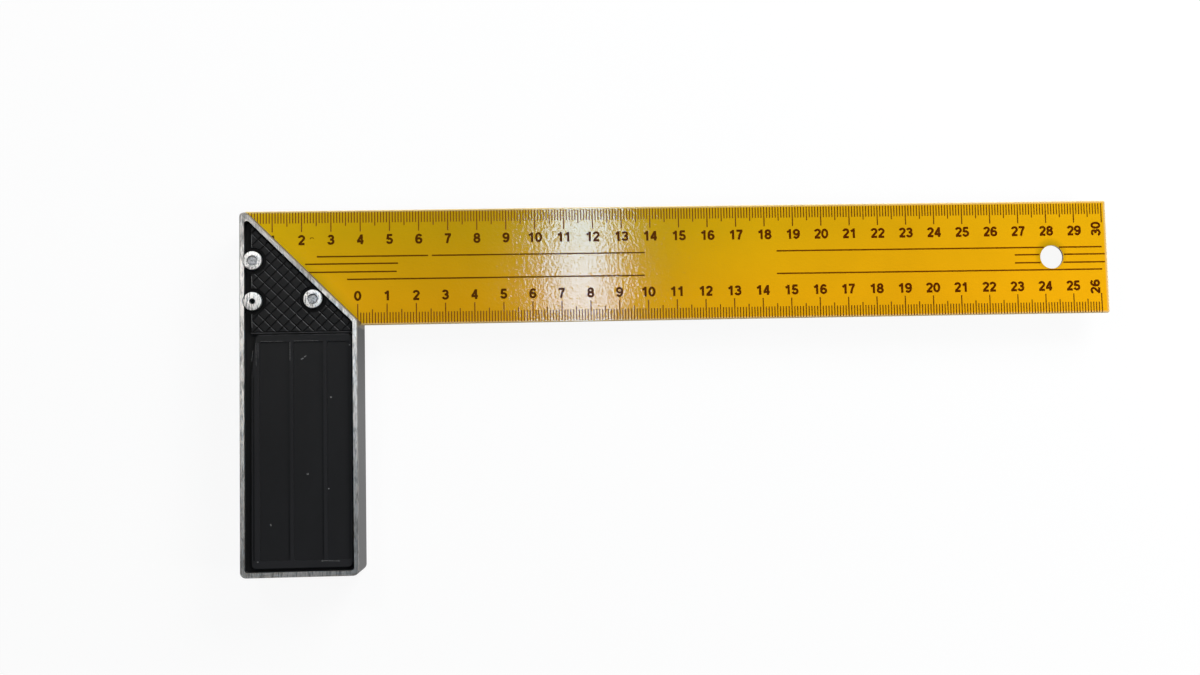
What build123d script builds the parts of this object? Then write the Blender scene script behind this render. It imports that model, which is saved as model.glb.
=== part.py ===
"""Carpenter's try square: a lacquered steel blade riveted into the slot of a cast handle with moulded inlays.

Millimetres. The origin is the inner corner of the square, where the handle's working face meets the blade's
inner edge, halfway through the thickness. +X runs along the blade to its tip, +Y from the handle's free end
to the blade's outer edge, and +Z out of the front face.
"""

import os

from build123d import *

# Blade
blade_reach = 261.7  # working face to tip
blade_width = 39.8
blade_thickness = 1.0
blade_heel_setback = 0.05  # heel end inside the handle's outer edge
blade_tip_radius = 0.8
blade_edge_break = 0.3
hang_hole_diameter = 8.2
hang_hole_from_tip = 20.0
hang_hole_from_inner_edge = 20.0

# Handle casting
handle_width = 39.15
handle_drop = 83.9  # blade's inner edge to the free end
handle_thickness = 17.0
mitre_rise = 1.03  # foot of the mitre above the blade's inner edge
peak_drop = 1.42  # top of the handle short of the blade's outer edge
peak_flat = 1.8
peak_bevel = 1.15  # on both faces
peak_corner_radius = 1.4
end_corner_radius = 2.0
edge_break = 0.25
slot_play = 0.05  # between the blade and each side of its slot

# Pocket in each face, inside the ground rim
rim_working = 1.62
rim_mitre = 1.35
rim_outer = 1.55
rim_end = 1.8
pocket_depth = 3.0
pocket_corner_radius = 1.0

# Moulded inlay
inlay_clearance = 0.1
channel_drop = 1.9  # channel floor below the rim
pad_drop = 0.9  # grip and panel surface below the rim
channel_working = 0.45
channel_mitre = 0.4
channel_outer = 2.0
channel_end = 1.0
pad_corner_radius = 0.6
grip_edge_break = 0.3
divider_gap = 0.8  # between the grip and the panel
divider_below_blade = 2.37  # bottom edge of the grip below the blade's inner edge
divider_rise = 0.28  # flanks of the ridge in the gap
divider_crest = 0.1

# Knurled grip
knurl_pitch = 2.98
knurl_width = 0.64
knurl_depth = 0.22
knurl_from_mitre = 3.6
knurl_from_foot = 1.55

# Panel with sunken windows
panel_corner_radius = 1.6
panel_lead_in = 1.6  # how far the outer edge draws in at the top
panel_lead_length = 14.0
panel_edge_break = 0.25
window_depth = 0.35
window_corner_radius = 0.5
window_top_border = 2.45
window_end_border = 2.6
window_working_border = 0.7
rib_from_edge = 2.25  # panel's outer edge to the middle of its first rib
rib_pitch = 11.15
rib_width = 1.2
smallest_window = 2.0
edge_groove_width = 0.5
edge_groove_from_edge = 0.6

# Rivets
rivet_shank_diameter = 4.2
rivet_head_diameter = 6.35
rivet_hole_play = 0.05
rivet_head_drop = 0.05  # head below the rim
rivet_seat_drop = 1.5  # seat below the rim
rivet_seat_margin = 1.4
rivet_head_play = 0.04  # round the head, where it bites into the rim
rivet_bite = 0.5  # head into the outer rim
rivet_mitre_gap = 0.6  # head to the mitre rim
rivet_upper_drop = 17.92  # below the blade's outer edge
rivet_lower_height = 8.12  # above the blade's inner edge
rivet_inner_height = 8.62
rivet_edge_radius = 0.25
rivet_dome_height = 0.8
rivet_dish_diameter = 3.4
rivet_dish_depth = 0.6
rivet_dish_taper = 0.3
rivet_bore_diameter = 1.8
rivet_bore_depth = 2.5

# Levels above the mid-plane
rim_level = handle_thickness / 2
pocket_floor = rim_level - pocket_depth
channel_level = rim_level - channel_drop
pad_level = rim_level - pad_drop
seat_level = rim_level - rivet_seat_drop
head_level = rim_level - rivet_head_drop

# Outline of the handle
heel_x = -handle_width
peak_y = blade_width - peak_drop
end_foot = Vector(0, -handle_drop)
mitre_foot = Vector(0, mitre_rise)
mitre_peak = Vector(heel_x + peak_flat, peak_y)
heel_peak = Vector(heel_x, peak_y)
heel_end = Vector(heel_x, -handle_drop)
mitre_along = (mitre_peak - mitre_foot).normalized()
mitre_inward = Vector(-mitre_along.Y, mitre_along.X)
mitre_to_heel = mitre_foot + mitre_along * (heel_x / mitre_along.X)
handle_sides = [end_foot, mitre_foot, mitre_to_heel, heel_end]


def inset(margins):
    """Corners left when each straight side of the handle moves inwards by its own margin."""
    sides = []
    for start, end, margin in zip(handle_sides, handle_sides[1:] + handle_sides[:1], margins):
        along = (end - start).normalized()
        inward = Vector(-along.Y, along.X)
        sides.append((start + inward * margin, along))
    corners = []
    for (first, first_along), (second, second_along) in zip(sides[-1:] + sides[:-1], sides):
        reach = (second - first).cross(second_along).Z / first_along.cross(second_along).Z
        corners.append(first + first_along * reach)
    return corners


def profile(corners, radius, level):
    """Face with rounded corners, lying flat at the given level."""
    with BuildSketch(Plane.XY.offset(level)) as face:
        with BuildLine():
            Polyline(*corners, close=True)
        make_face()
        fillet(face.vertices(), radius)
    return face.sketch


rim = [rim_working, rim_mitre, rim_outer, rim_end]
channel = [channel_working, channel_mitre, channel_outer, channel_end]
pocket_corners = inset(rim)
inlay_corners = inset([wall + inlay_clearance for wall in rim])
pad_corners = inset([wall + gap for wall, gap in zip(rim, channel)])

# Rivet centres
rivet_hole_radius = rivet_shank_diameter / 2 + rivet_hole_play
rivet_head_radius = rivet_head_diameter / 2
outer_rivet_x = heel_x + rim_outer + rivet_head_radius - rivet_bite
inner_rivet_inset = rim_mitre + rivet_mitre_gap + rivet_head_radius
inner_rivet_start = mitre_foot + mitre_inward * inner_rivet_inset
inner_rivet_climb = (rivet_inner_height - inner_rivet_start.Y) / mitre_along.Y
rivet_centres = {
    "rivet_upper_outer": Vector(outer_rivet_x, blade_width - rivet_upper_drop),
    "rivet_lower_outer": Vector(outer_rivet_x, rivet_lower_height),
    "rivet_inner": inner_rivet_start + mitre_along * inner_rivet_climb,
}

# Handle: the outline, its peak bevelled, a pocket in each face, the blade's slot, and the rivets' seats and holes
slot_width = blade_thickness + 2 * slot_play
with BuildPart() as handle_body:
    with BuildSketch(Plane.XY.offset(-rim_level)) as handle_outline:
        with BuildLine():
            Polyline(end_foot, mitre_foot, mitre_peak, heel_peak, heel_end, close=True)
        make_face()
        fillet(handle_outline.vertices().group_by(Axis.Y)[0], end_corner_radius)
        fillet(handle_outline.vertices().group_by(Axis.Y)[-1].sort_by(Axis.X)[0], peak_corner_radius)
    extrude(amount=handle_thickness)
    for rim_face in handle_body.faces().filter_by(Axis.Z):
        chamfer(rim_face.outer_wire().edges(), edge_break)
    bevel_start = peak_y - peak_bevel
    bevel_end = peak_y + peak_bevel
    for face_level, slope in [(rim_level, -1), (-rim_level, 1)]:
        with BuildSketch(Plane.YZ.offset(heel_x)):
            Polygon(
                (bevel_start, face_level),
                (bevel_end, face_level),
                (bevel_end, face_level + slope * (bevel_end - bevel_start)),
                align=None,
            )
        extrude(amount=handle_width, mode=Mode.SUBTRACT)
    extrude(profile(pocket_corners, pocket_corner_radius, pocket_floor), amount=pocket_depth, mode=Mode.SUBTRACT)
    extrude(profile(pocket_corners, pocket_corner_radius, -rim_level), amount=pocket_depth, mode=Mode.SUBTRACT)
    with BuildSketch(Plane.YZ.offset(heel_x)):
        Rectangle(blade_width, slot_width, align=(Align.MIN, Align.CENTER))
    extrude(amount=handle_width, mode=Mode.SUBTRACT)
    for seat_bottom in [seat_level, -rim_level]:
        with BuildSketch(Plane.XY.offset(seat_bottom)):
            with Locations(*rivet_centres.values()):
                Circle(rivet_head_radius + rivet_head_play)
        extrude(amount=rivet_seat_drop, mode=Mode.SUBTRACT)
    with BuildSketch(Plane.XY.offset(-rim_level)):
        with Locations(*rivet_centres.values()):
            Circle(rivet_hole_radius)
    extrude(amount=handle_thickness, mode=Mode.SUBTRACT)

# Blade: a flat strip with the hang hole near its tip and the rivet holes at its heel
with BuildPart() as blade:
    with BuildSketch(Plane.XY.offset(-blade_thickness / 2)) as blade_outline:
        with Locations((heel_x + blade_heel_setback, 0)):
            Rectangle(
                handle_width - blade_heel_setback + blade_reach,
                blade_width,
                align=(Align.MIN, Align.MIN),
            )
        fillet(blade_outline.vertices().group_by(Axis.X)[-1], blade_tip_radius)
        with Locations((blade_reach - hang_hole_from_tip, hang_hole_from_inner_edge)):
            Circle(hang_hole_diameter / 2, mode=Mode.SUBTRACT)
        with Locations(*rivet_centres.values()):
            Circle(rivet_hole_radius, mode=Mode.SUBTRACT)
    extrude(amount=blade_thickness)
    for flat_face in blade.faces().filter_by(Axis.Z):
        exposed_edges = flat_face.outer_wire().edges().sort_by(Axis.X)[1:]
        chamfer(exposed_edges, blade_edge_break)


def knurl_section(spread, along, first, reach):
    """Row of V grooves, repeated along the spread direction and cut along the other one."""
    lip = knurl_depth
    half_width = knurl_width * (knurl_depth + lip) / knurl_depth / 2
    count = int((reach - first) / knurl_pitch) + 1
    with BuildSketch(Plane(mitre_foot + Vector(0, 0, pad_level), x_dir=spread, z_dir=along)) as section:
        with Locations(*[(first + step * knurl_pitch, 0) for step in range(count)]):
            Polygon((-half_width, lip), (0, -knurl_depth), (half_width, lip), align=None)
    return section.sketch


# Front inlay: a plate filling the pocket, with the grip, a thin ridge and the panel standing on it
working_side, mitre_side, outer_side, outer_end = [pad_corners[1], pad_corners[2], pad_corners[3], pad_corners[0]]
grip_bottom = -divider_below_blade
panel_top = grip_bottom - divider_gap
panel_bottom = outer_end.Y
panel_lead_end = panel_top - panel_lead_length
panel_left = outer_side.X
panel_right = working_side.X
grip_corners = [Vector(panel_right, grip_bottom), working_side, mitre_side, Vector(panel_left, grip_bottom)]
grip_depth = max((corner - mitre_foot).dot(mitre_inward) for corner in grip_corners)
grip_climb = max((corner - mitre_foot).dot(mitre_along) for corner in grip_corners)
groove_reach = grip_depth + grip_climb
rib_room = panel_right - panel_left - rib_from_edge - window_working_border - smallest_window
rib_count = int(rib_room / rib_pitch) + 1
window_top = panel_top - window_top_border
window_bottom = panel_bottom + window_end_border
window_left_edges = [panel_left + rib_from_edge + rib_width / 2 + step * rib_pitch for step in range(rib_count)]
window_right_edges = [edge - rib_width for edge in window_left_edges[1:]] + [panel_right - window_working_border]

with BuildPart() as front_inlay:
    inlay_radius = pocket_corner_radius - inlay_clearance
    extrude(profile(inlay_corners, inlay_radius, pocket_floor), amount=channel_level - pocket_floor)
    extrude(profile(grip_corners, pad_corner_radius, channel_level), amount=pad_level - channel_level)
    chamfer(front_inlay.faces().group_by(Axis.Z)[-1].edges(), grip_edge_break)
    for spread, along, first, reach in [
        (mitre_inward, mitre_along, knurl_from_mitre, grip_depth),
        (mitre_along, -mitre_inward, knurl_from_foot, grip_climb),
    ]:
        extrude(knurl_section(spread, along, first, reach), amount=groove_reach, both=True, mode=Mode.SUBTRACT)
    with BuildSketch(Plane.XY.offset(channel_level)):
        with Locations(*rivet_centres.values()):
            Circle(rivet_head_radius + rivet_seat_margin)
    extrude(amount=channel_drop, mode=Mode.SUBTRACT)
    with BuildSketch(Plane.XY.offset(channel_level)):
        with Locations(*rivet_centres.values()):
            Circle(rivet_head_radius + rivet_seat_margin)
        add(profile(inlay_corners, inlay_radius, 0), mode=Mode.INTERSECT)
    extrude(amount=seat_level - channel_level)
    panel_corners = [
        Vector(panel_left, panel_bottom),
        Vector(panel_right, panel_bottom),
        Vector(panel_right, panel_top),
        Vector(panel_left + panel_lead_in, panel_top),
        Vector(panel_left, panel_lead_end),
    ]
    extrude(profile(panel_corners, panel_corner_radius, channel_level), amount=pad_level - channel_level)
    panel_face = front_inlay.faces().group_by(Axis.Z)[-1].sort_by(SortBy.AREA)[-1]
    chamfer(panel_face.edges(), panel_edge_break)
    with BuildSketch(Plane.XY.offset(pad_level)) as windows:
        for left, right in zip(window_left_edges, window_right_edges):
            with Locations((left, window_bottom)):
                Rectangle(right - left, window_top - window_bottom, align=(Align.MIN, Align.MIN))
        fillet(windows.vertices(), window_corner_radius)
        with Locations((panel_left + edge_groove_from_edge, window_bottom)):
            Rectangle(edge_groove_width, panel_lead_end - window_bottom, align=(Align.MIN, Align.MIN))
    extrude(amount=-window_depth, mode=Mode.SUBTRACT)
    with BuildSketch(Plane.YZ.offset(panel_left)):
        crest_y = (grip_bottom + panel_top) / 2
        flank_level = pad_level - divider_rise
        Polygon(
            (grip_bottom, channel_level),
            (grip_bottom, flank_level),
            (crest_y + divider_crest / 2, pad_level),
            (crest_y - divider_crest / 2, pad_level),
            (panel_top, flank_level),
            (panel_top, channel_level),
            align=None,
        )
    extrude(amount=panel_right - panel_left)
    with BuildSketch(Plane.XY.offset(pocket_floor)):
        with Locations(*rivet_centres.values()):
            Circle(rivet_hole_radius)
    extrude(amount=pocket_depth, mode=Mode.SUBTRACT)

# Back inlay: the same plate mirrored into the other pocket
with BuildPart() as back_inlay:
    mirror(front_inlay.part, about=Plane.XY)


def rivet(centre, mouth_radius, floor_radius, depth):
    """Rivet with a low factory head at the back and a set head, hollow in the middle, at the front."""
    shank_radius = rivet_shank_diameter / 2
    dome_edge = rivet_dome_height - head_level
    dome_middle = (rivet_head_radius / 2, rivet_dome_height / 4 - head_level)
    shoulder = rivet_head_radius - rivet_edge_radius
    with BuildPart() as body:
        with BuildSketch(Plane(centre, x_dir=(1, 0, 0), z_dir=(0, -1, 0))):
            with BuildLine():
                ThreePointArc((0, -head_level), dome_middle, (rivet_head_radius, dome_edge))
                Polyline(
                    (rivet_head_radius, dome_edge),
                    (rivet_head_radius, -seat_level),
                    (shank_radius, -seat_level),
                    (shank_radius, seat_level),
                    (rivet_head_radius, seat_level),
                    (rivet_head_radius, head_level - rivet_edge_radius),
                )
                RadiusArc(
                    (rivet_head_radius, head_level - rivet_edge_radius),
                    (shoulder, head_level),
                    -rivet_edge_radius,
                )
                Polyline(
                    (shoulder, head_level),
                    (mouth_radius, head_level),
                    (floor_radius, head_level - depth),
                    (0, head_level - depth),
                    (0, -head_level),
                )
            make_face()
        revolve(axis=Axis(centre, (0, 0, 1)))
    return body.part


# Rivets: two with a dished centre, and one ground down until its bore is open
dish_radius = rivet_dish_diameter / 2
bore_radius = rivet_bore_diameter / 2
rivet_hollows = {
    "rivet_upper_outer": (dish_radius, dish_radius - rivet_dish_taper, rivet_dish_depth),
    "rivet_lower_outer": (bore_radius, bore_radius, rivet_bore_depth),
    "rivet_inner": (dish_radius, dish_radius - rivet_dish_taper, rivet_dish_depth),
}

pieces = {
    "handle_body": handle_body.part,
    "blade": blade.part,
    "front_inlay": front_inlay.part,
    "back_inlay": back_inlay.part,
}
for node, centre in rivet_centres.items():
    pieces[node] = rivet(centre, *rivet_hollows[node])

os.makedirs("parts", exist_ok=True)
for node, piece in pieces.items():
    piece.label = node
    export_step(piece, f"parts/{node}.step")
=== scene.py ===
from math import cos, pi, radians, sin

import bmesh
import bpy
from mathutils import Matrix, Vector
from mathutils.geometry import delaunay_2d_cdt


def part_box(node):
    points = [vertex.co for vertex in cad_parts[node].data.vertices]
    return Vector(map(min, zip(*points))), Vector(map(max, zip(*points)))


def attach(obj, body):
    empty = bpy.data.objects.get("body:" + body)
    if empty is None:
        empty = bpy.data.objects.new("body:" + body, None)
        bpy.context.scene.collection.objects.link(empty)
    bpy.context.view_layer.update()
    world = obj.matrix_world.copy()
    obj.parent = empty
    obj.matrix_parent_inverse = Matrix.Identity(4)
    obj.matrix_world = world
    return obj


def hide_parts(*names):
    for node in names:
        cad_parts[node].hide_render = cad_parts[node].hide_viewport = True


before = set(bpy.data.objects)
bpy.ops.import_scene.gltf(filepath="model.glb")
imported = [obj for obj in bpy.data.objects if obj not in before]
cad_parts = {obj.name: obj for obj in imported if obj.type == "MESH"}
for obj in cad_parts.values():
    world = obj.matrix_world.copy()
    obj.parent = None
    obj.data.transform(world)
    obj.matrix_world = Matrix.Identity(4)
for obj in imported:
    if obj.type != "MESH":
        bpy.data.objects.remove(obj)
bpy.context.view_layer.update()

MM = 0.001
WHITE = (1.0, 1.0, 1.0)

# Places read from the frame, whose origin is the square's inner corner: plain places count from there
blade_low, blade_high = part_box("blade")
handle_low, handle_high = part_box("handle_body")
heel_x = handle_low.x
working_face_x = handle_high.x
inner_edge_y = blade_low.y
outer_edge_y = blade_high.y
tip_x = blade_high.x
rim_z = handle_high.z
floor_z = handle_low.z
rivet_head_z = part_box("rivet_inner")[1].z

# Levels below the rim, and places that the materials follow
pad_z = rim_z - 0.9 * MM
window_z = rim_z - 1.25 * MM
ground_z = rim_z - 1.4 * MM
channel_z = rim_z - 1.9 * MM
grip_bottom_y = inner_edge_y - 2.4 * MM
grimy_spot = (tip_x - 20.4 * MM, inner_edge_y + 21 * MM, 0)
grimy_reach = 10 * MM

# Printed scale: lengths of scales in millimetres, shapes of numerals as shares of their height
outer_zero_x = working_face_x - 39.95 * MM
inner_zero_x = working_face_x - 1.0 * MM
outer_scale_length = 300
inner_scale_length = 260
tick_width = 0.34 * MM
centimetre_tick_width = 0.37 * MM
tick_edge_gap = 0.45 * MM
tick_length = {1: 4.2 * MM, 5: 5.25 * MM, 10: 7.2 * MM}
numeral_height = 3.38 * MM
numeral_stroke = 0.23
numeral_advance = 0.745
numeral_width = 0.7
numeral_from_edge = 10.0 * MM
end_numeral_from_edge = 9.5 * MM
end_numeral_shift = 2.2 * MM
rule_width = 0.5 * MM
rule_from_outer_edge = [15.86 * MM, 18.4 * MM, 21.23 * MM, 23.8 * MM]
outer_print_y = outer_edge_y - 0.3 * MM
print_skew = 0.0015
ink_sunk = 0.02 * MM
ink_proud = 0.03 * MM

# Camera, fitted to the scale in the photograph: turn in degrees, lens and sensor in millimetres
camera_place = Vector((63.94, -31.54, 417.84)) * MM
camera_turn = (3.599, -2.392, -1.159)
camera_lens = 36.371
camera_sensor = 36.0
camera_nearest = 10 * MM


def link(obj):
    bpy.context.scene.collection.objects.link(obj)
    return obj


def mesh_object(name, bm, material):
    mesh = bpy.data.meshes.new(name)
    bm.to_mesh(mesh)
    bm.free()
    mesh.materials.append(material)
    return link(bpy.data.objects.new(name, mesh))


# Numerals: each digit is a few strokes in a cell of height 1
def line(*points):
    return [Vector(point) for point in points]


def arc(centre, radii, start, end, steps=14):
    turns = [radians(start + (end - start) * step / steps) for step in range(steps + 1)]
    return [Vector((centre[0] + radii[0] * cos(turn), centre[1] + radii[1] * sin(turn))) for turn in turns]


def ring(centre, radii):
    return [arc(centre, radii, 0, 185), arc(centre, radii, 180, 365)]


# A nine is a six turned upside down in its cell
SIX = [
    *ring((0.36, 0.32), (0.25, 0.225)),
    arc((0.385, 0.5), (0.275, 0.405), 195, 40),
]
DIGIT_STROKES = {
    "0": ring((0.35, 0.5), (0.255, 0.405)),
    "1": [line((0.43, 0), (0.43, 1)), line((0.43, 0.93), (0.33, 0.8), (0.12, 0.7))],
    "2": [
        arc((0.34, 0.69), (0.245, 0.215), 172, -38) + line((0.12, 0.1)),
        line((0.04, 0.09), (0.64, 0.09)),
    ],
    "3": [
        arc((0.33, 0.71), (0.225, 0.195), 165, -85),
        arc((0.33, 0.305), (0.255, 0.215), 85, -168),
        line((0.26, 0.52), (0.36, 0.52)),
    ],
    "4": [
        line((0.49, 0), (0.49, 1)),
        line((0.47, 0.94), (0.1, 0.3)),
        line((0.03, 0.29), (0.68, 0.29)),
    ],
    "5": [
        line((0.13, 0.91), (0.62, 0.91)),
        line((0.2, 0.95), (0.14, 0.46)),
        arc((0.34, 0.32), (0.255, 0.23), 138, -168),
    ],
    "6": SIX,
    "7": [line((0.04, 0.91), (0.66, 0.91)), line((0.6, 0.93), (0.38, 0.5), (0.26, 0))],
    "8": [*ring((0.35, 0.72), (0.215, 0.19)), *ring((0.35, 0.3), (0.25, 0.21))],
    "9": [[Vector((0.71, 1)) - point for point in stroke] for stroke in SIX],
}


def ribbon(points, width):
    """Outline of a stroke of even width along the points, with square ends."""
    left, right = [], []
    for index, point in enumerate(points):
        before = points[max(index - 1, 0)]
        after = points[min(index + 1, len(points) - 1)]
        along = (after - before).normalized()
        side = Vector((-along.y, along.x)) * width / 2
        left.append(point + side)
        right.append(point - side)
    return right + left[::-1]


def digit_triangles(digit):
    """Corners and triangles of a digit's strokes, merged where they cross."""
    inside_only = 1
    merge_gap = 1e-5
    corners, outlines = [], []
    for stroke in DIGIT_STROKES[digit]:
        outline = ribbon(stroke, numeral_stroke)
        outlines.append(list(range(len(corners), len(corners) + len(outline))))
        corners.extend(outline)
    points, _, faces, _, _, sources = delaunay_2d_cdt(corners, [], outlines, inside_only, merge_gap)
    return points, [face for face, source in zip(faces, sources) if source]


DIGIT_FACES = {digit: digit_triangles(digit) for digit in DIGIT_STROKES}


class Print:
    """Marks on a flat face, at x and y on the square. On the back, numbers read from behind."""

    def __init__(self, side, face_z, skew=0.0):
        self.side = side
        self.skew = skew
        self.bm = bmesh.new()
        self.low = side * (face_z - ink_sunk)
        self.high = side * (face_z + ink_proud)

    def slab(self, points, faces):
        """Closed slab over flat faces."""
        middle = (heel_x + tip_x) / 2
        base = [self.bm.verts.new((x, y - self.skew * (x - middle), self.low)) for x, y in points]
        made = []
        for face in faces:
            made.append(self.bm.faces.new([base[index] for index in face]))
        grown = bmesh.ops.extrude_face_region(self.bm, geom=made)
        for item in grown["geom"]:
            if isinstance(item, bmesh.types.BMVert):
                item.co.z = self.high

    def bar(self, x0, x1, y0, y1):
        self.slab([(x0, y0), (x1, y0), (x1, y1), (x0, y1)], [(0, 1, 2, 3)])

    def stroke(self, points, width):
        """Stroke along a few points, all in millimetres."""
        outline = ribbon([Vector(point) * MM for point in points], width * MM)
        self.slab(outline, [range(len(outline))])

    def number(self, text, x, y, upright=True):
        """Number centred on x and y, or turned to read up the blade's end."""
        cell = numeral_height
        start = -cell * (numeral_advance * (len(text) - 1) + numeral_width) / 2
        for index, digit in enumerate(text):
            points, faces = DIGIT_FACES[digit]
            placed = []
            for point in points:
                u = start + cell * (index * numeral_advance + point.x)
                v = cell * (point.y - 0.5)
                if not upright:
                    u, v = -v, u
                placed.append((x + self.side * u, y + v))
            self.slab(placed, faces)

    def piece(self, name, material, slot):
        bmesh.ops.recalc_face_normals(self.bm, faces=self.bm.faces)
        obj = mesh_object(name, self.bm, material)
        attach(obj, "root")


def tick_kind(millimetre):
    """Longest kind of tick that a millimetre takes: one for each 10, for each 5 or for each 1."""
    return next(step for step in (10, 5, 1) if millimetre % step == 0)


def graduations(page, zero_x, edge_y, inward, first, last):
    """Millimetre ticks along one edge of the blade."""
    for millimetre in range(first, last + 1):
        kind = tick_kind(millimetre)
        half = (centimetre_tick_width if kind == 10 else tick_width) / 2
        x = zero_x + millimetre * MM
        near = edge_y + inward * tick_edge_gap
        far = edge_y + inward * tick_length[kind]
        page.bar(x - half, x + half, min(near, far), max(near, far))


def numbers(page, zero_x, edge_y, inward, first, last):
    """Centimetre numbers along one edge, with the last one turned on its side before its tick."""
    for centimetre in range(first, last):
        page.number(str(centimetre), zero_x + centimetre * 10 * MM, edge_y + inward * numeral_from_edge)
    end_x = zero_x + last * 10 * MM - end_numeral_shift
    page.number(str(last), end_x, edge_y + inward * end_numeral_from_edge, upright=False)


# Thin rules in the middle band of the blade: row, then start and end in millimetres from the working face
rules = [
    (0, -14.8, 23.2),
    (0, 24.5, 98.1),
    (1, -18.8, 12.9),
    (2, -17.6, 12.4),
    (3, -4.6, 97.9),
    (0, 144.2, 239.0),
    (0, 244.4, 259.7),
    (1, 228.5, 237.3),
    (1, 246.1, 260.8),
    (2, 228.5, 237.6),
    (2, 245.8, 260.7),
    (3, 144.1, 259.6),
]


# Materials
class Shader:
    """A Principled material and short names for the nodes that feed it."""

    def __init__(self, name):
        self.material = bpy.data.materials.new(name)
        self.material.use_nodes = True
        self.tree = self.material.node_tree
        self.bsdf = self.tree.nodes["Principled BSDF"]
        self.coordinates = self.node("ShaderNodeTexCoord").outputs["Object"]

    def node(self, kind, **settings):
        made = self.tree.nodes.new(kind)
        for key, value in settings.items():
            setattr(made, key, value)
        return made

    def feed(self, socket, source):
        if hasattr(source, "is_linked"):
            self.tree.links.new(source, socket)
        else:
            socket.default_value = source

    def stretched(self, scale):
        mapping = self.node("ShaderNodeMapping")
        self.feed(mapping.inputs["Vector"], self.coordinates)
        mapping.inputs["Scale"].default_value = scale
        return mapping.outputs["Vector"]

    def noise(self, size, detail=3.0, roughness=0.5, stretch=(1, 1, 1)):
        """Noise whose features are about size metres across, longer by stretch along each axis."""
        texture = self.node("ShaderNodeTexNoise")
        self.feed(texture.inputs["Vector"], self.stretched([1 / (size * s) for s in stretch]))
        texture.inputs["Scale"].default_value = 1.0
        texture.inputs["Detail"].default_value = detail
        texture.inputs["Roughness"].default_value = roughness
        return texture.outputs["Fac"]

    def ramp(self, value, *stops):
        """Colours or greys along a value, as (position, colour) stops."""
        made = self.node("ShaderNodeValToRGB")
        self.feed(made.inputs["Fac"], value)
        elements = made.color_ramp.elements
        while len(elements) < len(stops):
            elements.new(0.5)
        for element, (position, colour) in zip(elements, stops):
            element.position = position
            element.color = (*colour, 1) if isinstance(colour, tuple) else (colour, colour, colour, 1)
        return made.outputs["Color"]

    def math(self, operation, first, second):
        made = self.node("ShaderNodeMath", operation=operation)
        self.feed(made.inputs[0], first)
        self.feed(made.inputs[1], second)
        return made.outputs[0]

    def times(self, first, second):
        return self.math("MULTIPLY", first, second)

    def mix(self, factor, first, second, blend="MIX"):
        made = self.node("ShaderNodeMix", data_type="RGBA", blend_type=blend)
        self.feed(made.inputs["Factor"], factor)
        for socket, value in ((made.inputs[6], first), (made.inputs[7], second)):
            self.feed(socket, (*value, 1) if isinstance(value, tuple) else value)
        return made.outputs[2]

    def tint(self, first, second):
        """One colour or grey multiplied by another."""
        return self.mix(1.0, first, second, blend="MULTIPLY")

    def facing_up(self):
        """How squarely the surface faces up or down, from 0 to 1."""
        split = self.node("ShaderNodeSeparateXYZ")
        self.feed(split.inputs[0], self.node("ShaderNodeNewGeometry").outputs["True Normal"])
        return self.math("ABSOLUTE", split.outputs["Z"], 0.0)

    def place(self, axis):
        split = self.node("ShaderNodeSeparateXYZ")
        self.feed(split.inputs[0], self.coordinates)
        return split.outputs[axis]

    def share(self, value, start, end):
        """Where a value lies between start and end, from 0 to 1."""
        made = self.node("ShaderNodeMapRange")
        self.feed(made.inputs["Value"], value)
        made.inputs["From Min"].default_value = start
        made.inputs["From Max"].default_value = end
        return made.outputs["Result"]

    def along(self, axis, start, end):
        """How far along an axis a point lies, from 0 at start to 1 at end."""
        return self.share(self.place(axis), start, end)

    def distance_from(self, place, reach):
        """Distance from a place, as a share of reach."""
        gap = self.node("ShaderNodeVectorMath", operation="DISTANCE")
        self.feed(gap.inputs[0], self.coordinates)
        gap.inputs[1].default_value = place
        return self.math("DIVIDE", gap.outputs["Value"], reach)

    def height(self):
        """Distance from the middle of the thickness, on the front and on the back alike."""
        return self.math("ABSOLUTE", self.place("Z"), 0.0)

    def bump(self, height, depth, strength=1.0, under=None):
        made = self.node("ShaderNodeBump")
        made.inputs["Distance"].default_value = depth
        made.inputs["Strength"].default_value = strength
        self.feed(made.inputs["Height"], height)
        if under is not None:
            self.feed(made.inputs["Normal"], under)
        return made.outputs["Normal"]

    def set(self, **sources):
        """Feeds the Principled sockets with these names and gives the material back."""
        for socket, source in sources.items():
            self.feed(self.bsdf.inputs[socket.replace("_", " ").title().replace("Ior", "IOR")], source)
        return self.material


def orange_peel(shader):
    """Fine leathery grain of sprayed and stoved lacquer."""
    grain = shader.noise(0.95 * MM, detail=1.2, stretch=(1, 0.8, 1))
    return shader.bump(grain, 0.034 * MM)


def past_mitre(shader):
    """How far a point lies along X and Y together, from 0 on the line of the mitre."""
    return shader.math("ADD", shader.place("X"), shader.place("Y"))


def mitre_side(shader):
    """Share of the casting at its mitre, from 0 on the rest of it to 1 there."""
    return shader.share(past_mitre(shader), -1.3 * MM, -0.7 * MM)


def yellow_tone(shader):
    """Yellow with painted light and shade: deeper along the first half of the scale, and warmer towards the
    tip and the inner edge, the outer side away from the tip being painted cooler.
    """
    # Painted light and shade along the blade
    shade_along_blade = shader.ramp(
        shader.along("X", -30 * MM, 230 * MM),
        (0.0, (0.84, 0.432, 0.002)),
        (0.12, (0.74, 0.37, 0.002)),
        (0.23, (0.665, 0.329, 0.002)),
        (0.5, (0.675, 0.342, 0.002)),
        (0.65, (0.8, 0.392, 0.0015)),
        (0.85, (0.785, 0.37, 0.0015)),
        (1.0, (0.85, 0.4, 0.0015)),
    )
    handle_end = shader.ramp(shader.along("X", 200 * MM, 90 * MM), (0.0, 0.5), (1.0, 1.0))
    outer_side = shader.times(handle_end, shader.along("Y", 8 * MM, 32 * MM))
    # Painted shade, cooler and darker, on the outer side away from the tip
    cool_shade = shader.ramp(outer_side, (0.0, WHITE), (1.0, (0.79, 0.95, 1.0)))
    return shader.tint(shade_along_blade, cool_shade)


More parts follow.
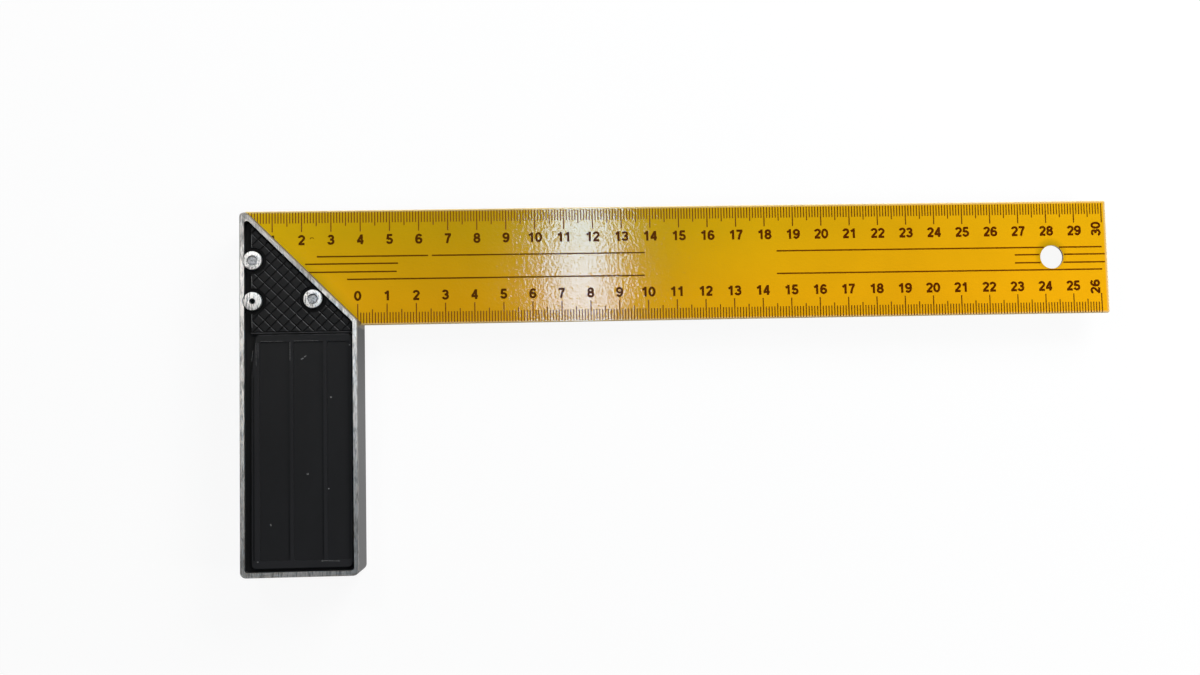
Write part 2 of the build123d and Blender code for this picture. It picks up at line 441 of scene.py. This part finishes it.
def joint_grime(shader):
    """Tint of the painted shadow of the handle along the line where the blade runs into the mitre."""
    near = shader.share(past_mitre(shader), 6 * MM, 0)
    below_peak = shader.along("Y", 34 * MM, 20 * MM)
    return shader.ramp(
        shader.times(near, below_peak),
        (0.0, WHITE),
        (0.5, (0.9, 0.96, 1.0)),
        (0.75, (0.8, 0.9, 1.0)),
        (1.0, (0.48, 0.64, 1.0)),
    )


def edge_wear(shader):
    """Share of painted highlight along the blade's outer edge, its tip and its inner edge."""
    outer = shader.along("Y", outer_edge_y - 0.9 * MM, outer_edge_y - 0.3 * MM)
    inner = shader.along("Y", inner_edge_y + 0.9 * MM, inner_edge_y + 0.3 * MM)
    tip = shader.along("X", tip_x - 1.0 * MM, tip_x - 0.4 * MM)
    return shader.math("MAXIMUM", tip, shader.math("MAXIMUM", outer, inner))


def lacquer():
    """Yellow lacquer on steel, with painted shade in its tone and along the mitre: pale painted highlight
    on its edges, grimy round the hang hole, painted shade on its cut walls.
    """
    pale_edge_highlight = (0.7, 0.67, 0.5)
    shaded_cut_wall = (0.2, 0.1, 0.012)
    corner_highlight = (0.8, 0.6, 0.25)
    shader = Shader("yellow_lacquer")
    from_spot = shader.distance_from(grimy_spot, grimy_reach)
    grime = shader.ramp(from_spot, (0.32, (0.55, 0.66, 1.0)), (0.6, WHITE))
    mottle = shader.ramp(shader.noise(14 * MM, detail=4), (0.3, 0.95), (0.7, 1.0))
    # Grime round the hang hole and random mottle, with the painted shadow along the mitre
    dirt_and_shadow = shader.tint(shader.tint(grime, mottle), joint_grime(shader))
    face_tone = shader.tint(yellow_tone(shader), dirt_and_shadow)
    # Painted pale highlight near the edges of the faces
    face = shader.mix(shader.times(edge_wear(shader), 0.4), face_tone, pale_edge_highlight)
    level = shader.facing_up()
    # Painted shade on the cut walls and painted highlight on the chamfers
    edge = shader.mix(shader.ramp(level, (0.3, 0.0), (0.5, 1.0)), shaded_cut_wall, corner_highlight)
    colour = shader.mix(shader.ramp(level, (0.8, 0.0), (0.95, 1.0)), edge, face)
    roughness = shader.ramp(shader.noise(3 * MM, detail=4), (0.3, 0.072), (0.75, 0.09))
    return shader.set(base_color=colour, roughness=roughness, normal=orange_peel(shader))


def ink(name, thick, thin, faded, gloss):
    """Brown print, patchy from thick to thin, and faded towards the handle."""
    shader = Shader(name)
    patchy = shader.ramp(shader.noise(0.9 * MM, detail=4), (0.35, thick), (0.75, thin))
    brown = shader.mix(shader.along("X", 170 * MM, 70 * MM), patchy, faded)
    return shader.set(base_color=brown, roughness=0.3, specular_ior_level=gloss, normal=orange_peel(shader))


def polish(shader):
    """How bright the ground rims are: painted shade darkens them up the mitre, up the heel and down the
    working side.
    """
    up_mitre = shader.times(mitre_side(shader), shader.along("Y", 0, 18 * MM))
    on_heel = shader.along("X", heel_x + 2.6 * MM, heel_x + 1.6 * MM)
    up_heel = shader.times(on_heel, shader.along("Y", 18 * MM, 32 * MM))
    on_working_side = shader.along("X", -20 * MM, 0)
    down_side = shader.times(on_working_side, shader.along("Y", -10 * MM, -70 * MM))
    shaded = shader.math("ADD", shader.times(up_heel, 0.7), shader.times(down_side, 0.65))
    return shader.ramp(shader.math("ADD", up_mitre, shaded), (0.0, 1.0), (1.0, 0.47))


def casting_tint(shader):
    """Grey of the bare casting: painted shadow of the blade darkens the working face near it, and a painted
    warm reflection of the blade lies on the mitre's wall.
    """
    on_working_face = shader.along("X", -5 * MM, -1 * MM)
    # Painted shadow of the blade on the working face
    blade_shadow = shader.times(on_working_face, shader.along("Y", -30 * MM, 0))
    grey = shader.ramp(blade_shadow, (0.0, 0.12), (1.0, 0.05))
    # Painted warm reflection of the yellow blade on the mitre's wall
    return shader.mix(mitre_side(shader), grey, (0.18, 0.16, 0.125))


def ground_share(shader):
    """Share of grinding: full on high faces that look up or down, and on the slopes at the peak."""
    level = shader.facing_up()
    at_peak = shader.along("Y", outer_edge_y - 3.2 * MM, outer_edge_y - 2.8 * MM)
    slope = shader.times(at_peak, shader.ramp(level, (0.05, 0.0), (0.35, 1.0)))
    flat = shader.math("MAXIMUM", slope, shader.ramp(level, (0.6, 0.0), (0.95, 1.0)))
    return shader.times(flat, shader.math("GREATER_THAN", shader.height(), ground_z))


def ground_handle():
    """Aluminium ground along the handle on its outer faces and left as cast below them."""
    shader = Shader("ground_handle")
    streaks = shader.noise(0.22 * MM, detail=4, roughness=0.6, stretch=(1, 16, 1))
    patches = shader.noise(1.6 * MM, detail=4, roughness=0.6, stretch=(1, 3, 1))
    wear = shader.math("ADD", shader.times(streaks, 0.5), shader.times(patches, 0.5))
    bright = shader.ramp(wear, (0.41, (0.42, 0.402, 0.378)), (0.53, (1.0, 0.95, 0.89)))
    # Ground metal, darkened on the rims by painted shade
    ground = shader.tint(bright, polish(shader))
    pits = shader.noise(0.5 * MM, detail=6, roughness=0.7)
    casting = shader.tint(shader.ramp(pits, (0.3, 0.8), (0.7, 1.0)), casting_tint(shader))
    top = ground_share(shader)
    colour = shader.mix(top, casting, ground)
    roughness = shader.mix(top, (0.55, 0.55, 0.55), shader.ramp(wear, (0.38, 0.48), (0.6, 0.36)))
    marks = shader.bump(streaks, 0.04 * MM)
    skin = shader.bump(pits, 0.02 * MM, under=marks)
    return shader.set(metallic=1.0, base_color=colour, roughness=roughness, normal=skin)


def riveted_metal(name, streaky, dark_below):
    """Aluminium rivet: bright scratched ring, painted shade on the wall of its hollow, mottled dish, and
    painted shade nearly black past dark_below.
    """
    shaded_step = (0.14, 0.14, 0.14)
    shaded_bore_black = (0.025, 0.025, 0.025)
    shader = Shader(name)
    scratches = shader.noise(0.36 * MM, detail=3, roughness=0.6, stretch=(1, 9, 1))
    blotches = shader.noise(0.6 * MM, detail=5, roughness=0.65)
    wear = shader.mix(streaky, blotches, scratches)
    bright_ring = shader.ramp(wear, (0.385, (0.14, 0.137, 0.13)), (0.515, (0.95, 0.92, 0.88)))
    grey_dish = shader.ramp(blotches, (0.36, 0.16), (0.62, 0.56))
    front = shader.math("GREATER_THAN", shader.place("Z"), 0.0)
    depth = shader.times(front, shader.math("SUBTRACT", rivet_head_z, shader.height()))
    # Painted shade on the wall of the hollow
    step = shader.mix(shader.share(depth, 0.03 * MM, 0.08 * MM), bright_ring, shaded_step)
    face = shader.mix(shader.share(depth, 0.45 * MM, 0.53 * MM), step, grey_dish)
    # Painted shade, nearly black, deep in the hollow
    colour = shader.mix(shader.share(depth, dark_below, dark_below + 0.1 * MM), face, shaded_bore_black)
    roughness = shader.ramp(wear, (0.38, 0.5), (0.6, 0.36))
    skin = shader.bump(blotches, 0.05 * MM, under=shader.bump(scratches, 0.04 * MM))
    return shader.set(metallic=1.0, base_color=colour, roughness=roughness, normal=skin)


def worn_ridges(shader):
    """Share of painted highlight on the sides of the grip's ridges that face the mitre, patchy along them.
    """
    towards_mitre = (0.707, 0.707, 0)
    lean = shader.node("ShaderNodeVectorMath", operation="DOT_PRODUCT")
    shader.feed(lean.inputs[0], shader.node("ShaderNodeNewGeometry").outputs["True Normal"])
    lean.inputs[1].default_value = towards_mitre
    side = shader.ramp(lean.outputs["Value"], (0.3, 0.0), (0.45, 1.0), (0.62, 1.0), (0.68, 0.0))
    patchy = shader.ramp(shader.noise(3 * MM, detail=3), (0.35, 0.3), (0.6, 1.0))
    return shader.times(side, patchy)


def grimy_grooves(shader):
    """Painted shade in the grip's grooves: how much light they give back, less towards their floors."""
    in_grip = shader.math("GREATER_THAN", shader.place("Y"), grip_bottom_y)
    sunk = shader.share(shader.height(), pad_z - 0.03 * MM, pad_z - 0.18 * MM)
    return shader.ramp(shader.times(in_grip, sunk), (0.0, 1.0), (1.0, 0.3))


def moulding():
    """Black moulded plastic: satin on its pads and brighter towards the handle's free end, dull down in the
    channel, with painted shade that darkens it the lower it lies.
    """
    unshaded_share_at_rim = 0.4864
    gloss_at_rim = 0.2062
    gloss_in_channel = 0.07
    channel_shade = (0.01, 0.01, 0.01)
    ridge_highlight_grey = (0.13, 0.13, 0.135)
    shader = Shader("black_moulding")
    haze = shader.ramp(
        shader.noise(9 * MM, detail=5, stretch=(1, 3, 1)),
        (0.3, (0.047, 0.047, 0.052)),
        (0.75, (0.064, 0.064, 0.071)),
    )
    # Brighter towards the handle's free end
    brighter_to_free_end = shader.ramp(shader.along("Y", 0, -80 * MM), (0.0, 0.12), (0.08, 0.5), (0.5, 0.65), (1.0, 1.0))
    groove_shade = grimy_grooves(shader)
    # Painted shade in the grooves, on the colour here and on the gloss below
    satin = shader.tint(shader.tint(brighter_to_free_end, haze), groove_shade)
    # Painted highlight on the ridges' sides that face the mitre
    skinned = shader.mix(worn_ridges(shader), satin, ridge_highlight_grey)
    raised = shader.share(shader.height(), channel_z, rim_z)
    # Painted shade: darker the lower the surface lies, darkest in the channel
    colour = shader.mix(shader.times(raised, unshaded_share_at_rim), channel_shade, skinned)
    roughness = shader.ramp(shader.noise(2.5 * MM, detail=5), (0.3, 0.36), (0.7, 0.46))
    unshaded_gloss = shader.ramp(raised, (0.0, gloss_in_channel), (1.0, gloss_at_rim))
    gloss = shader.times(groove_shade, unshaded_gloss)
    skin = shader.bump(shader.noise(0.35 * MM, detail=3), 0.012 * MM, 0.6)
    return shader.set(base_color=colour, roughness=roughness, specular_ior_level=gloss, normal=skin)


def rubbed_moulding():
    """Black plastic painted pale: for scuffs where something has caught it, and for painted highlights on
    the inlay's edges.
    """
    shader = Shader("rubbed_moulding")
    broken = shader.noise(0.4 * MM, detail=4, roughness=0.7)
    grey = shader.ramp(broken, (0.35, (0.03, 0.03, 0.03)), (0.6, (0.2, 0.2, 0.195)))
    return shader.set(base_color=grey, roughness=0.6)


def pale_floor():
    """White floor that mostly glows where it is seen, so that only a faint shadow falls on it."""
    glowing = 0.92
    shader = Shader("pale_floor")
    shader.tree.nodes.remove(shader.bsdf)
    rays = shader.node("ShaderNodeLightPath").outputs
    mirrored = shader.math("MAXIMUM", rays["Is Glossy Ray"], rays["Is Transmission Ray"])
    glow = shader.node("ShaderNodeEmission")
    shader.feed(glow.inputs["Strength"], shader.math("MAXIMUM", rays["Is Camera Ray"], mirrored))
    matt = shader.node("ShaderNodeBsdfDiffuse")
    matt.inputs["Color"].default_value = (0.9, 0.9, 0.9, 1)
    blend = shader.node("ShaderNodeMixShader")
    blend.inputs["Fac"].default_value = glowing
    shader.feed(blend.inputs[1], matt.outputs[0])
    shader.feed(blend.inputs[2], glow.outputs[0])
    shader.feed(shader.tree.nodes["Material Output"].inputs["Surface"], blend.outputs[0])
    return shader.material


def dress(node, material):
    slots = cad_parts[node].data.materials
    slots.clear()
    slots.append(material)


handle_metal = ground_handle()
dished_metal = riveted_metal("dished_rivet", 0.5, 0.8 * MM)
bored_metal = riveted_metal("bored_rivet", 0.75, 0.02 * MM)
black = moulding()
pale_mark = rubbed_moulding()
yellow = lacquer()
figure_ink = ink("scale_ink", (0.08, 0.014, 0.0), (0.115, 0.026, 0.0), (0.085, 0.026, 0.0), 0.025)
line_ink = ink("line_ink", (0.12, 0.032, 0.0), (0.19, 0.06, 0.0), (0.13, 0.05, 0.0), 0.025)
tick_ink = ink("tick_ink", (0.095, 0.028, 0.001), (0.145, 0.05, 0.001), (0.18, 0.058, 0.001), 0.11)
dress("handle_body", handle_metal)
for inlay in ("front_inlay", "back_inlay"):
    dress(inlay, black)
dress("blade", yellow)


def rivet_outline(head, back, radius, hollow):
    """Radius and height round half a rivet, from the middle of its front to that of its domed back.

    The hollow in the front has the radius of its mouth, the radius of its floor and its depth.
    """
    mouth, floor, depth = hollow
    lip = 0.1 * MM
    lip_outside = 0.06 * MM
    edge = 0.25 * MM
    seat = head - 1.45 * MM
    shank = 2.1 * MM
    dome = 0.8 * MM
    dome_steps = 8
    points = [
        (0, head - depth),
        (floor, head - depth),
        (mouth + lip_outside - lip, head - lip),
        (mouth + lip_outside, head),
    ]
    for degrees in range(90, -1, -15):
        turn = radians(degrees)
        points.append((radius - edge + edge * cos(turn), head - edge + edge * sin(turn)))
    points += [(radius, seat), (shank, seat), (shank, -seat), (radius, -seat)]
    for step in range(dome_steps + 1):
        share = 1 - step / dome_steps
        points.append((radius * share, back + dome * share**2))
    return points


def turned_rivet(node, hollow, ragged, material):
    """Rivet in place of its node, spun from its outline. Its hollow is a little ragged inside the lip."""
    low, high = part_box(node)
    outline = rivet_outline(high.z, low.z, (high.x - low.x) / 2, hollow)
    points_in_hollow = 3
    steps = 72
    weld = 1e-7
    crease = radians(25)
    middle = (low + high) / 2
    bm = bmesh.new()
    rows = []
    for step in range(steps):
        turn = 2 * pi * step / steps
        wobble = 1 + ragged * (sin(2 * turn + middle.y / MM) + 0.6 * sin(5 * turn))
        row = []
        for index, (radius, z) in enumerate(outline):
            reach = radius * (wobble if index < points_in_hollow else 1)
            row.append(bm.verts.new((middle.x + reach * cos(turn), middle.y + reach * sin(turn), z)))
        rows.append(row)
    for row, following in zip(rows, rows[1:] + rows[:1]):
        for index in range(len(outline) - 1):
            bm.faces.new((row[index], following[index], following[index + 1], row[index + 1]))
    bmesh.ops.remove_doubles(bm, verts=bm.verts, dist=weld)
    bmesh.ops.recalc_face_normals(bm, faces=bm.faces)
    for face in bm.faces:
        face.smooth = True
    for bend in bm.edges:
        bend.smooth = bend.calc_face_angle(0) < crease
    piece = mesh_object(f"{node}_turned", bm, material)
    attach(piece, "root")
    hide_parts(node)


# Rivets: two with a dished centre and one ground down to its open bore
dish = (1.7 * MM, 1.4 * MM, 0.6 * MM)
bore = (0.96 * MM, 0.9 * MM, 2.5 * MM)
turned_rivet("rivet_upper_outer", dish, 0.01, dished_metal)
turned_rivet("rivet_lower_outer", bore, 0.04, bored_metal)
turned_rivet("rivet_inner", dish, 0.02, dished_metal)

# Print on both faces of the blade
for side, face in ((1, "front"), (-1, "back")):
    ticks = Print(side, blade_high.z, print_skew)
    graduations(ticks, outer_zero_x, outer_print_y, -1, 1, outer_scale_length)
    graduations(ticks, inner_zero_x, inner_edge_y, 1, 0, inner_scale_length)
    ticks.piece(f"{face}_graduations", tick_ink, "scale_ink")

    figures = Print(side, blade_high.z, print_skew)
    numbers(figures, outer_zero_x, outer_print_y, -1, 1, outer_scale_length // 10)
    numbers(figures, inner_zero_x, inner_edge_y, 1, 0, inner_scale_length // 10)
    figures.piece(f"{face}_numbers", figure_ink, "scale_ink")

    lines = Print(side, blade_high.z, print_skew)
    for row, start, end in rules:
        middle = outer_print_y - rule_from_outer_edge[row]
        lines.bar(start * MM, end * MM, middle - rule_width / 2, middle + rule_width / 2)
    lines.piece(f"{face}_rules", line_ink, "scale_ink")

# Fleck of ink near the mitre, in millimetres
fleck_points = [(-17.1, 30.0), (-16.8, 30.4), (-16.3, 30.45), (-15.8, 30.2)]
fleck_width = 0.22
fleck = Print(1, blade_high.z)
fleck.stroke(fleck_points, fleck_width)
fleck.piece("front_fleck", line_ink, "scale_ink")

# Painted highlights along edges of the front inlay, and scuffs on it, in millimetres: where they run and
# how wide they are
pad_highlights_and_scuffs = [
    # Painted highlights on the edges of the windows, their ribs and the panel
    ([(-32.4, -5.4), (-24.8, -5.45)], 0.07),
    ([(-21.3, -5.4), (-13.0, -5.45)], 0.07),
    ([(-33.9, -5.9), (-33.8, -13.5)], 0.07),
    ([(-33.2, -5.9), (-33.15, -11.0)], 0.07),
    ([(-22.6, -5.8), (-22.6, -12.0)], 0.1),
    ([(-34.9, -8.4), (-35.3, -12.0)], 0.1),
    ([(-12.3, -78.75), (-6.5, -78.95)], 0.16),
    ([(-12.45, -78.75), (-11.9, -78.8)], 0.45),
    ([(-33.7, -78.7), (-33.2, -78.7)], 0.4),
    ([(-2.9, -7.1), (-2.5, -7.0)], 0.4),
    # Painted highlights along the grip's left edge
    ([(-35.25, 30.6), (-35.2, 26.4)], 0.13),
    ([(-35.25, 16.6), (-35.15, 13.2)], 0.16),
    ([(-35.25, 3.8), (-35.15, -0.8)], 0.12),
]
window_scuffs = [
    ([(-19.0, -11.6), (-18.2, -11.2)], 0.4),
    ([(-18.0, -10.9), (-17.2, -10.4)], 0.3),
    ([(-9.4, -24.5), (-8.8, -24.5)], 0.45),
    ([(-17.3, -50.0), (-16.7, -49.9)], 0.6),
    ([(-10.3, -55.0), (-9.8, -55.0)], 0.4),
    ([(-29.3, -66.3), (-29.1, -67.0)], 0.35),
]
for name, face_z, marks in (
    ("pad_highlights_and_scuffs", pad_z, pad_highlights_and_scuffs),
    ("window_scuffs", window_z, window_scuffs),
):
    pale_marks = Print(1, face_z)
    for points, width in marks:
        pale_marks.stroke(points, width)
    pale_marks.piece(name, pale_mark, "black_inlay")

# Floor: a wide plate just under the square, in metres
floor_size = 12.0
floor_gap = 0.05 * MM
floor_bm = bmesh.new()
bmesh.ops.create_grid(floor_bm, x_segments=1, y_segments=1, size=floor_size)
floor = mesh_object("floor", floor_bm, pale_floor())
floor.location.z = floor_z - floor_gap


def studio_sky():
    """Pale walls round the horizon under a dim ceiling."""
    # Each has a height, as the sine of its angle above the horizon, and a grey
    wall_top = (0.06, 0.95)
    ceiling_edge = (0.22, 0.05)
    world = bpy.data.worlds.new("studio")
    bpy.context.scene.world = world
    world.use_nodes = True
    nodes = world.node_tree.nodes
    links = world.node_tree.links
    direction = nodes.new("ShaderNodeSeparateXYZ")
    links.new(nodes.new("ShaderNodeTexCoord").outputs["Generated"], direction.inputs[0])
    sky = nodes.new("ShaderNodeValToRGB")
    for element, (height, grey) in zip(sky.color_ramp.elements, (wall_top, ceiling_edge)):
        element.position = height
        element.color = (grey, grey, grey, 1)
    links.new(direction.outputs["Z"], sky.inputs["Fac"])
    links.new(sky.outputs["Color"], nodes["Background"].inputs["Color"])


def softbox(name, place, target, size, watts, colour=WHITE):
    lamp = bpy.data.lights.new(name, "AREA")
    lamp.shape = "RECTANGLE"
    lamp.color = colour
    lamp.size, lamp.size_y = size
    lamp.energy = watts
    obj = link(bpy.data.objects.new(name, lamp))
    obj.location = place
    obj.rotation_euler = (Vector(target) - Vector(place)).to_track_quat("-Z", "Y").to_euler()


# Light: each lamp's place, what it points at and its size are in metres
daylight = (0.4, 0.69, 1.0)
lamplight = (1.0, 0.9, 0.78)
studio_sky()
softbox("key", (0.5, 0.6, 0.4), (0.1, 0.0, 0.0), (0.4, 0.4), 7.0)
softbox("strip", (0.102, 0.133, 0.9), (0.102, 0.133, 0.0), (0.06, 0.17), 0.65, daylight)
softbox("corner", (-0.12, 0.2, 0.35), (-0.03, 0.0, 0.0), (0.1, 0.1), 0.38)
softbox("rim", (-0.1, 0.02, 0.35), (-0.03, 0.0, 0.0), (0.03, 0.03), 0.047, lamplight)
softbox("fill", (0.55, -0.15, 0.35), (0.2, 0.0, 0.0), (0.2, 0.2), 1.25)

# Camera
camera = bpy.data.cameras.new("camera")
camera.lens = camera_lens
camera.sensor_width = camera_sensor
camera.clip_start = camera_nearest
view = link(bpy.data.objects.new("camera", camera))
view.location = camera_place
view.rotation_euler = [radians(angle) for angle in camera_turn]
bpy.context.scene.camera = view
bpy.context.scene.view_settings.view_transform = "Standard"
